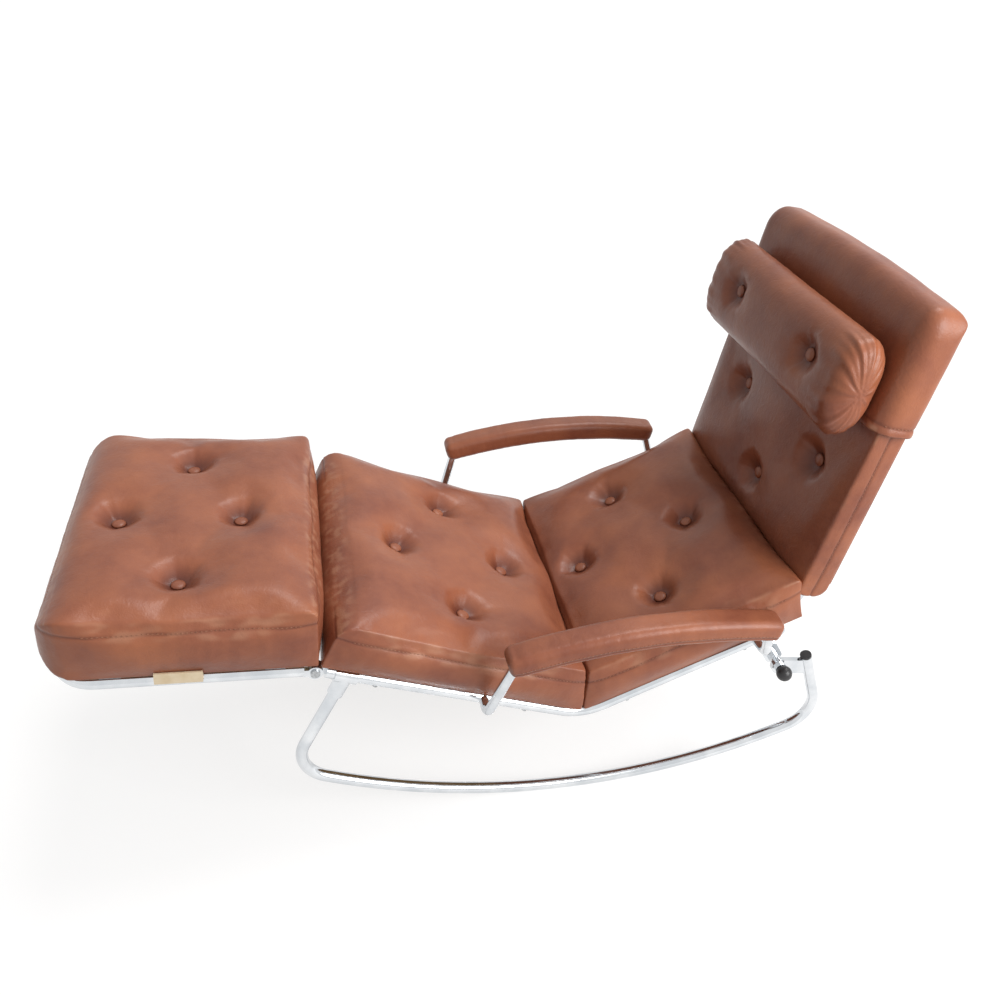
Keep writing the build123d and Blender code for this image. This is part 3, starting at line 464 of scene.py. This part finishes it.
def tuft_folds(places, normals, tufts, seed, depth=1.8):
    """Folds that run out from each button and die away about 70 mm from it."""
    for count, (u, v) in enumerate(tufts):
        du = places[:, 0] - u
        dv = places[:, 1] - v
        away = np.hypot(du, dv)
        turn = np.arctan2(dv, du)
        phase = seed + 1.7 * count
        wave = np.cos(5 * turn + phase) + 0.6 * np.cos(3 * turn - 2 * phase)
        near = smooth_step((away - 9) / 14) * (1 - smooth_step((away - 26) / 46))
        upper = smooth_step((normals[:, 2] - 0.2) / 0.4)
        places -= normals * (depth * np.maximum(wave - 0.25, 0) * near * upper)[:, None]


def paint(mesh, name, share):
    """Keep a share at each point, for the colour: how much painted shade it takes in a recess, or how much pale
    scuffing and painted highlight it takes.
    """
    layer = mesh.attributes.new(name, "FLOAT", "POINT")
    layer.data.foreach_set("value", np.clip(share, 0, 1).astype(np.float32))


def finish_piece(piece, local, body, stands_for, finish):
    """Put a piece into the chair with its finish, and hide the frame's parts that it stands for."""
    piece.data.transform(local)
    piece.data.materials.clear()
    piece.data.materials.append(finish)
    piece.data.polygons.foreach_set("use_smooth", [True] * len(piece.data.polygons))
    piece.data.update()
    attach(piece, body)
    if stands_for:
        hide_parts(*stands_for)
    return piece


def buttons(name, spots, local, body, node):
    """Leather-covered buttons: domed, pleated round the rim where the leather is gathered under."""
    bm = bmesh.new()
    for count, (u, v, w) in enumerate(spots):
        turned = Matrix.Rotation(0.9 * count, 4, "Z")
        fresh = bmesh.ops.create_uvsphere(bm, u_segments=36, v_segments=16, radius=MM, matrix=turned)["verts"]
        for vert in fresh:
            x, y, z = vert.co / MM
            turn = math.atan2(y, x)
            rim = math.hypot(x, y)
            pleat = 1 + 0.03 * math.cos(BUTTON_PLEATS * turn) * rim ** 4
            tuck = 0.8 if z < 0 else 1.0
            reach = BUTTON_RADIUS * pleat * tuck
            flat = 0.5 * (1 - rim) * (z > 0)
            vert.co = Vector((x * reach, y * reach, BUTTON_DOME * z - flat)) * MM
        bmesh.ops.translate(bm, vec=Vector((u, v, w)) * MM, verts=fresh)
    piece = as_object(bm, name)
    return finish_piece(piece, local, body, (node,), COGNAC)


def side_seams(start, end, height):
    """Runs of stitches along both sides of a cushion, each looked for from outside it."""
    outside = 400
    return [((start, way * outside, height), (end, way * outside, height), (0, -way, 0)) for way in (1, -1)]


def stitch_runs(name, piece, runs, local, body):
    """Lock stitches that lie on a piece: a run has a start, an end and a direction to look for the leather."""
    tree = BVHTree.FromObject(piece, bpy.context.evaluated_depsgraph_get())
    bm = bmesh.new()
    for start, end, aim in runs:
        first = Vector(start)
        run = Vector(end) - first
        count = max(1, int(run.length / STITCH_PITCH))
        for number in range(count + 1):
            eye = (first + run * (number / count)) * MM
            spot, normal, _, _ = tree.ray_cast(eye, Vector(aim))
            if spot is None:
                continue
            along = run - normal * run.dot(normal)
            side = normal.cross(along.normalized())
            turned = Matrix((along.normalized(), side, normal)).transposed().to_4x4()
            turned.translation = spot + normal * 0.2 * MM
            thread = turned @ Matrix.Diagonal([half * MM for half in STITCH_HALF] + [1])
            bmesh.ops.create_icosphere(bm, subdivisions=1, radius=1.0, matrix=thread)
    made = as_object(bm, name)
    return finish_piece(made, local, body, (), THREAD)


def cushion(name, bm, tufts, seam, crown, seed, shape=None, still=None, below=7.0, pressure=3.0, cap=13.0,
            voxel=6.0, depth=TUFT_DEPTH, reach=TUFT_REACH, wear_and_sheen=0.4):
    """A buttoned cushion in its own frame: rounded block, crowned, pulled in at its buttons, swollen by its
    filling, then creased. Gives the piece and where its buttons sit."""
    piece = as_object(bm, name)
    remesh(piece, voxel)
    places = points_of(piece.data)
    if shape is not None:
        places = shape(places)
    low = places.min(0)
    high = places.max(0)
    middle = (low + high) / 2
    half = (high - low) / 2
    across = 1 - (places[:, 1] / half[1]) ** 2
    along = 1 - ((places[:, 0] - middle[0]) / half[0]) ** 4
    places[:, 2] += crown * across * along * (places[:, 2] / high[2])
    dimple(places, tufts, depth, reach)
    move_to(piece.data, places)
    held = places[:, 2] < below
    for u, v in tufts:
        held |= np.hypot(places[:, 0] - u, places[:, 1] - v) < BUTTON_HOLD
    if still is not None:
        held |= still(places)
    stuff(piece, held, pressure, cap)
    refine(piece)
    places = points_of(piece.data)
    normals = normals_of(piece.data)
    spots = []
    for u, v in tufts:
        under = (np.hypot(places[:, 0] - u, places[:, 1] - v) < 9) & (normals[:, 2] > 0)
        spots.append((u, v, places[under, 2].mean() + BUTTON_LIFT))
    tuft_folds(places, normals, tufts, seed)
    side = 1 - smooth_step((np.abs(normals[:, 2]) - 0.35) / 0.35)
    free = smooth_step((places[:, 2] - 10) / 14)
    soft = ripple(places, (90, 90, 90), seed)
    pucker = ripple(places, (14, 14, 60), seed + 5)
    slack = 0.9 * soft + 0.6 * pucker * side
    in_seam = np.exp(-((places[:, 2] - seam) / SEAM_SPREAD) ** 2) * side if seam else np.zeros(len(places))
    places += normals * (slack * free - SEAM_DEPTH * in_seam)[:, None]
    move_to(piece.data, places)
    # Painted shade in the dimples round the buttons and in the seam groove
    recess_shade = np.zeros(len(places))
    for u, v in tufts:
        away = np.hypot(places[:, 0] - u, places[:, 1] - v)
        recess_shade = np.maximum(recess_shade, 1 - smooth_step((away - 8) / 30))
    paint(piece.data, "painted_recess_shade", 0.8 * recess_shade * (normals[:, 2] > 0) + 0.6 * in_seam)
    # Pale scuffs and a painted highlight along the shoulders of the top edges
    edge = smooth_step((normals[:, 2] - 0.2) / 0.3) * (1 - smooth_step((normals[:, 2] - 0.7) / 0.25))
    border = np.maximum(np.abs(places[:, 1]) / half[1], np.abs(places[:, 0] - middle[0]) / half[0])
    rubbed_and_sheen = smooth_step((ripple(places, (30, 12, 12), seed + 9) + 0.15) / 0.6)
    paint(piece.data, "wear_and_sheen", wear_and_sheen * edge * rubbed_and_sheen * smooth_step((border - 0.84) / 0.1))
    return piece, spots


def cover(piece, spots, local, base, body, name, seams=()):
    """Set a cushion on its base with its buttons and stitches, in place of the frame's own solids."""
    lifted = local @ Matrix.Translation((0, 0, base * MM))
    if seams:
        stitch_runs(piece.name + "_stitches", piece, seams, lifted, body)
    stuffing = name + ("_fill" if name == "bolster" else "_foam")
    finish_piece(piece, lifted, body, (name + "_cover", stuffing), COGNAC)
    buttons(piece.name + "_buttons", spots, lifted, body, name + "_buttons")


def press(piece, neighbour, gap=0.8):
    """Flatten a cushion where it meets its neighbour, so that the two lie together and neither runs into the
    other."""
    search = 30 * MM
    tree = BVHTree.FromObject(neighbour, bpy.context.evaluated_depsgraph_get())
    for vert in piece.data.vertices:
        spot, normal, _, _ = tree.find_nearest(vert.co, search)
        if spot is None:
            continue
        clear = (vert.co - spot).dot(normal)
        if clear < gap * MM:
            vert.co += normal * (gap * MM - clear)
    piece.data.update()


def valley_cut(local, way):
    """Upright plane where leg and seat meet, in a cushion's own frame: a place on it and the way it faces."""
    facing = Vector((way, 0, 0))
    place = local.inverted() @ (valley - facing * VALLEY_GAP * MM)
    place.z -= RAIL_BASE * MM
    return place, local.to_3x3().inverted() @ facing


def leg_cushion():
    """Long cushion under the calves, cut upright where the seat begins."""
    bm = block(5, 575, HALF_WIDTH - 5, 0, 95)
    cut_off(bm, *valley_cut(LEG, 1))
    top, knee_end, valley_end = 82, 14, 400
    round_off(bm, 34, lambda u, v, w: u < knee_end and w > top)
    round_off(bm, 24, lambda u, v, w: w > top and abs(v) > NEAR_SIDE)
    round_off(bm, 12, lambda u, v, w: w > top and u > valley_end)
    round_off(bm, 10, lambda u, v, w: u < knee_end and abs(v) > NEAR_SIDE)
    # The end that meets the seat slopes, and is held still.
    piece, spots = cushion("leg_cushion", bm, LEG_TUFTS, seam=LEG_SEAM, crown=5, seed=1.0,
                           still=lambda p: p[:, 0] > 510 + 0.9 * p[:, 2])
    cover(piece, spots, LEG, RAIL_BASE, "chassis", "leg", side_seams(40, 470, LEG_SEAM))
    return piece


def lean_back(places):
    """Let the seat's rear end lean against the back."""
    near = smooth_step((places[:, 0] - 380) / 70)
    places[:, 0] += 20 * near * np.clip(places[:, 2] / 90, 0, 1) ** 2
    return places


def seat_cushion():
    """Seat, cut upright where the leg cushion ends, leaning on the back behind."""
    bm = block(-60, 450, HALF_WIDTH - 5, 0, 92)
    cut_off(bm, *valley_cut(SEAT, -1))
    top, rear_end, valley_end = 82, 440, 100
    round_off(bm, 12, lambda u, v, w: u > rear_end and w > top)
    round_off(bm, 24, lambda u, v, w: w > top and abs(v) > NEAR_SIDE)
    round_off(bm, 12, lambda u, v, w: w > top and u < valley_end)
    round_off(bm, 10, lambda u, v, w: u > rear_end and abs(v) > NEAR_SIDE)
    piece, spots = cushion("seat_cushion", bm, SEAT_TUFTS, seam=SEAT_SEAM, crown=12, seed=2.0, shape=lean_back)
    cover(piece, spots, SEAT, RAIL_BASE, "chassis", "seat", side_seams(50, 425, SEAT_SEAM))
    return piece


def footrest_cushion():
    """Thick footrest with rounded corners at the foot end and a seam round three sides."""
    bm = block(-5, 426, HALF_WIDTH - 4, 0, 118)
    top, knee_end, foot_end = 101, 0, 400
    round_off(bm, 66, lambda u, v, w: u > foot_end and abs(v) > NEAR_SIDE)
    round_off(bm, 14, lambda u, v, w: w > top and u < knee_end)
    round_off(bm, 20, lambda u, v, w: w > top)
    piece, spots = cushion("footrest_cushion", bm, FOOT_TUFTS, seam=FOOT_SEAM, crown=3, seed=3.0)
    seams = side_seams(25, 345, FOOT_SEAM)
    seams.append(((600, -190, FOOT_SEAM), (600, 190, FOOT_SEAM), (-1, 0, 0)))
    cover(piece, spots, FOOT, FOOT_BASE, "footrest", "footrest", seams)
    return piece


def back_cushion():
    """Thin back, held still under the hood."""
    bm = block(-4, 546, HALF_WIDTH - 6, 1, 56)
    front, rear, low_end, top_end, hood = 50, 2, 0, 540, 335
    round_off(bm, 30, lambda u, v, w: u > top_end and w > front)
    round_off(bm, 12, lambda u, v, w: u < low_end and w > front)
    round_off(bm, 24, lambda u, v, w: u < low_end and w < rear)
    round_off(bm, 20, lambda u, v, w: w > front)
    piece, spots = cushion("back_cushion", bm, BACK_TUFTS, seam=BACK_SEAM, crown=10, seed=4.0,
                           still=lambda p: p[:, 0] > hood, cap=14.0)
    cover(piece, spots, BACK, 0, "back", "back", side_seams(25, hood, BACK_SEAM))
    return piece


def head_pillow():
    """Bolster on the hood: a stuffed roll, its leather gathered in pleats round both ends."""
    bm = block(PILLOW_LOW[0], PILLOW_HIGH[0], PILLOW_HIGH[1], PILLOW_LOW[2], PILLOW_HIGH[2])
    piece, spots = cushion("head_pillow", bm, PILLOW_TUFTS, seam=0, crown=0, seed=5.0,
                           shape=lambda p: rounded(p, PILLOW_LOW, PILLOW_HIGH, (66, 36, 43)), cap=12.0, voxel=5.0,
                           depth=18.0, reach=44.0, wear_and_sheen=0.0)
    places = points_of(piece.data)
    normals = normals_of(piece.data)
    turn = np.arctan2((places[:, 2] - 43) * 2, places[:, 0] - 402)
    gather = smooth_step((np.abs(places[:, 1]) - 175) / 60) * smooth_step((places[:, 2] - 8) / 20)
    bent = turn + 0.16 * ripple(places, (70, 70, 70), 11.0)
    pleats = np.cos(13 * bent) + 0.7 * np.cos(23 * bent + 1.3) + 1.5 * ripple(places, (30, 30, 30), 13.0)
    places += normals * (0.9 * gather * pleats)[:, None]
    move_to(piece.data, places)
    cover(piece, spots, BACK, BOLSTER_BASE, "headrest", "bolster")


def head_sleeve():
    """Leather hood pulled over the top of the back: a thick rounded roll with a turned and stitched hem."""
    start, side, rear = HOOD_LOW
    end, width, front = HOOD_HIGH
    piece = as_object(block(start, end, width, rear, front), "head_sleeve")
    remesh(piece, 6.0)
    # Front and rear edges have radii of their own, so each is rounded in a box that is open past the other.
    places = rounded(points_of(piece.data), (200, side, -80), (end, width, front), (46, 32, 34))
    places = rounded(places, (200, side, rear), (end, width, 180), (26, 12, 22))
    # Crowned at the top end and behind
    full = 1 - (places[:, 1] / width) ** 2
    places[:, 0] += 9 * full * smooth_step((places[:, 0] - 470) / 80)
    places[:, 2] -= 8 * full * smooth_step((places[:, 0] - 370) / 110) * smooth_step((24 - places[:, 2]) / 30)
    move_to(piece.data, places)
    bm = bmesh.new()
    bm.from_mesh(piece.data)
    open_end = [f for f in bm.faces if f.calc_center_median().x < (start + 1.5) * MM]
    bmesh.ops.delete(bm, geom=open_end, context="FACES")
    bm.to_mesh(piece.data)
    bm.free()
    refine(piece)
    places = points_of(piece.data)
    normals = normals_of(piece.data)
    hem = smooth_step((358 - places[:, 0]) / 6)
    stitched = np.exp(-((places[:, 0] - HEM_STITCH) / 2.0) ** 2)
    soft = ripple(places, (70, 70, 70), 6.0)
    slack = ripple(places, (30, 12, 12), 7.0) * smooth_step((430 - places[:, 0]) / 80)
    places += normals * (1.4 * hem - 1.2 * stitched + 1.3 * soft + 0.9 * slack)[:, None]
    move_to(piece.data, places)
    # Painted shade along the hem's stitch groove
    paint(piece.data, "painted_recess_shade", 0.5 * stitched)
    # Pale scuffs and a painted highlight along the turned hem
    paint(piece.data, "wear_and_sheen", 0.7 * hem * smooth_step((ripple(places, (30, 30, 30), 12.0) + 0.2) / 0.5))
    runs = [((HEM_STITCH, -240, 200 * way), (HEM_STITCH, 240, 200 * way), (0, 0, -way)) for way in (1, -1)]
    runs += [((HEM_STITCH, 400 * way, 5), (HEM_STITCH, 400 * way, 55), (0, -way, 0)) for way in (1, -1)]
    stitch_runs("head_sleeve_stitches", piece, runs, BACK, "headrest")
    thick = piece.modifiers.new("leather", "SOLIDIFY")
    thick.thickness = HIDE * MM
    thick.offset = -1.0
    finish_piece(piece, BACK, "headrest", ("headrest_hood",), COGNAC)


def arm_pad(side, way):
    """Padded arm sleeve bent along the arm, sewn together below its outer edge, folded in at the ends."""
    bm = block(-ARM_HALF, ARM_HALF, 25, -20, 20)
    round_off(bm, 13, lambda u, v, w: True, segments=8)
    piece = as_object(bm, "arm_pad_" + side)
    remesh(piece, 4.0)
    refine(piece)
    places = points_of(piece.data)
    normals = normals_of(piece.data)
    body = 1 - (places[:, 0] / ARM_HALF) ** 6
    seam_line = np.exp(-((places[:, 2] + 9) / 1.6) ** 2) * smooth_step((places[:, 1] * way - 15) / 6)
    soft = ripple(places, (60, 60, 60), 8.0 + way)
    tight = ripple(places, (9, 40, 40), 9.0 + way)
    ends = smooth_step((np.abs(places[:, 0]) - 200) / 40)
    places += normals * (2.0 * body + 1.2 * soft + (0.35 + 0.7 * ends) * tight - 1.4 * seam_line)[:, None]
    move_to(piece.data, places)
    # Painted shade along the seam groove under the arm's outer edge
    paint(piece.data, "painted_recess_shade", 0.6 * seam_line)
    stitch_runs("arm_stitches_" + side, piece, [((-225, 200 * way, -5), (225, 200 * way, -5), (0, -way, 0))],
                Matrix.Identity(4), "chassis")
    return piece


def bend_arm(piece, way):
    """Lay a straight arm piece along the arm's arc."""
    front = Vector(ARM_FRONT)
    rear = Vector(ARM_REAR)
    chord = rear - front
    radius = (chord.length ** 2 / 4 + ARM_RISE ** 2) / (2 * ARM_RISE)
    upward = Vector((-chord.y, chord.x)).normalized()
    centre = (front + rear) / 2 + upward * (ARM_RISE - radius)
    lean = math.atan2(chord.y, chord.x)
    places = points_of(piece.data)
    turn = places[:, 0] / radius - lean
    reach = radius + places[:, 2]
    bent = np.empty_like(places)
    bent[:, 0] = centre.x + ORIGIN_X + reach * np.sin(turn)
    bent[:, 1] = places[:, 1] + way * ARM_SIDE
    bent[:, 2] = centre.y + reach * np.cos(turn)
    move_to(piece.data, bent)


leg = leg_cushion()
seat = seat_cushion()
foot = footrest_cushion()
press(foot, leg)
back = back_cushion()
press(seat, leg)
press(seat, back)
head_pillow()
head_sleeve()
for side, way in (("left", -1), ("right", 1)):
    pad = arm_pad(side, way)
    bend_arm(pad, way)
    bend_arm(bpy.data.objects["arm_stitches_" + side], way)
    finish_piece(pad, Matrix.Identity(4), "chassis", ("arm_cover_" + side, "arm_foam_" + side),
                 COGNAC)


# Floor, light and camera


def photo_camera():
    """Camera above the near side, looking down along the chair, where the picture was taken from."""
    pitch = math.radians(32.4)
    yaw = math.radians(14.0)
    roll = math.radians(3.8)
    place = Vector((-520 + ORIGIN_X, -1383, 1515))
    # Pixels: the picture's size and middle, the focal length, and where the lens points
    picture = 995
    middle = (497, 497.5)
    focal = 906
    lens_point = (508, 460)
    sensor = 36.0
    ahead = Vector((math.sin(yaw) * math.cos(pitch), math.cos(yaw) * math.cos(pitch), -math.sin(pitch)))
    right = Vector((math.cos(yaw), -math.sin(yaw), 0))
    above = right.cross(ahead)
    turned_right = math.cos(roll) * right + math.sin(roll) * above
    turned_above = math.cos(roll) * above - math.sin(roll) * right
    placed = Matrix((turned_right, turned_above, -ahead)).transposed().to_4x4()
    placed.translation = place * MM
    data = bpy.data.cameras.new("photo_camera")
    data.sensor_width = sensor
    data.lens = focal * sensor / picture
    data.shift_x = (middle[0] - lens_point[0]) / picture
    data.shift_y = (lens_point[1] - middle[1]) / picture
    made = bpy.data.objects.new("photo_camera", data)
    made.matrix_world = placed
    scene.collection.objects.link(made)
    scene.camera = made


def lamp(name, kind, at, aim, power, **shape):
    """Soft lamp at a place, turned to an aim."""
    data = bpy.data.lights.new(name, kind)
    data.energy = power
    for key, value in shape.items():
        setattr(data, key, value)
    made = bpy.data.objects.new(name, data)
    made.location = at
    made.rotation_euler = (Vector(aim) - Vector(at)).to_track_quat("-Z", "Y").to_euler()
    made.visible_camera = False
    scene.collection.objects.link(made)


photo_camera()
lamp("key_sky", "SUN", (1.1, 0.8, 3.1), (0.1, 0, 0.35), 1.35, angle=math.radians(28))
lamp("window_box", "AREA", (1.7, -1.9, 1.7), (0.6, 0, 0.65), 62, size=1.6)

bm = bmesh.new()
bmesh.ops.create_grid(bm, x_segments=1, y_segments=1, size=FLOOR_HALF)
floor = as_object(bm, "floor")
paper, paper_tree, paper_shader = material("matt_white_floor", Base_Color=colour("#9C9B9A"), Roughness=0.9,
                                           Emission_Color=colour("#FFFFFF"))
paper_ray = add(paper_tree, "ShaderNodeLightPath")
paper_seen = add(paper_tree, "ShaderNodeMath",
                 {0: paper_ray.outputs["Is Camera Ray"], 1: paper_ray.outputs["Is Glossy Ray"]},
                 operation="MAXIMUM")
paper_level = add(paper_tree, "ShaderNodeMapRange", {"Value": paper_seen.outputs["Value"]}, To_Min=0.0,
                  To_Max=0.72)
paper_tree.links.new(paper_level.outputs["Result"], paper_shader.inputs["Emission Strength"])
floor.data.materials.append(paper)

world = bpy.data.worlds.new("white_room")
world.use_nodes = True
scene.world = world
room = world.node_tree
ray = add(room, "ShaderNodeLightPath")
direction = add(room, "ShaderNodeTexCoord").outputs["Generated"]
window = add(room, "ShaderNodeVectorMath", {0: direction}, operation="DOT_PRODUCT")
window.inputs[1].default_value = Vector((0.62, -0.6, 0.5)).normalized()
room_light = add(room, "ShaderNodeMapRange", {"Value": window.outputs["Value"]}, From_Min=-0.5, From_Max=0.95,
                 To_Min=0.03, To_Max=0.82)
metal = add(room, "ShaderNodeMath", {0: ray.outputs["Is Glossy Ray"], 1: ray.outputs["Is Transmission Ray"]},
            operation="MAXIMUM")
seen = add(room, "ShaderNodeMath", {0: ray.outputs["Is Camera Ray"], 1: metal.outputs["Value"]},
           operation="MAXIMUM")
bright = add(room, "ShaderNodeMix", {"Factor": seen.outputs["Value"], "A": room_light.outputs["Result"]}, B=1.0)
backdrop = room.nodes["Background"]
backdrop.inputs["Color"].default_value = colour("#FFFFFF")
room.links.new(bright.outputs["Result"], backdrop.inputs["Strength"])

scene.view_settings.view_transform = "Standard"
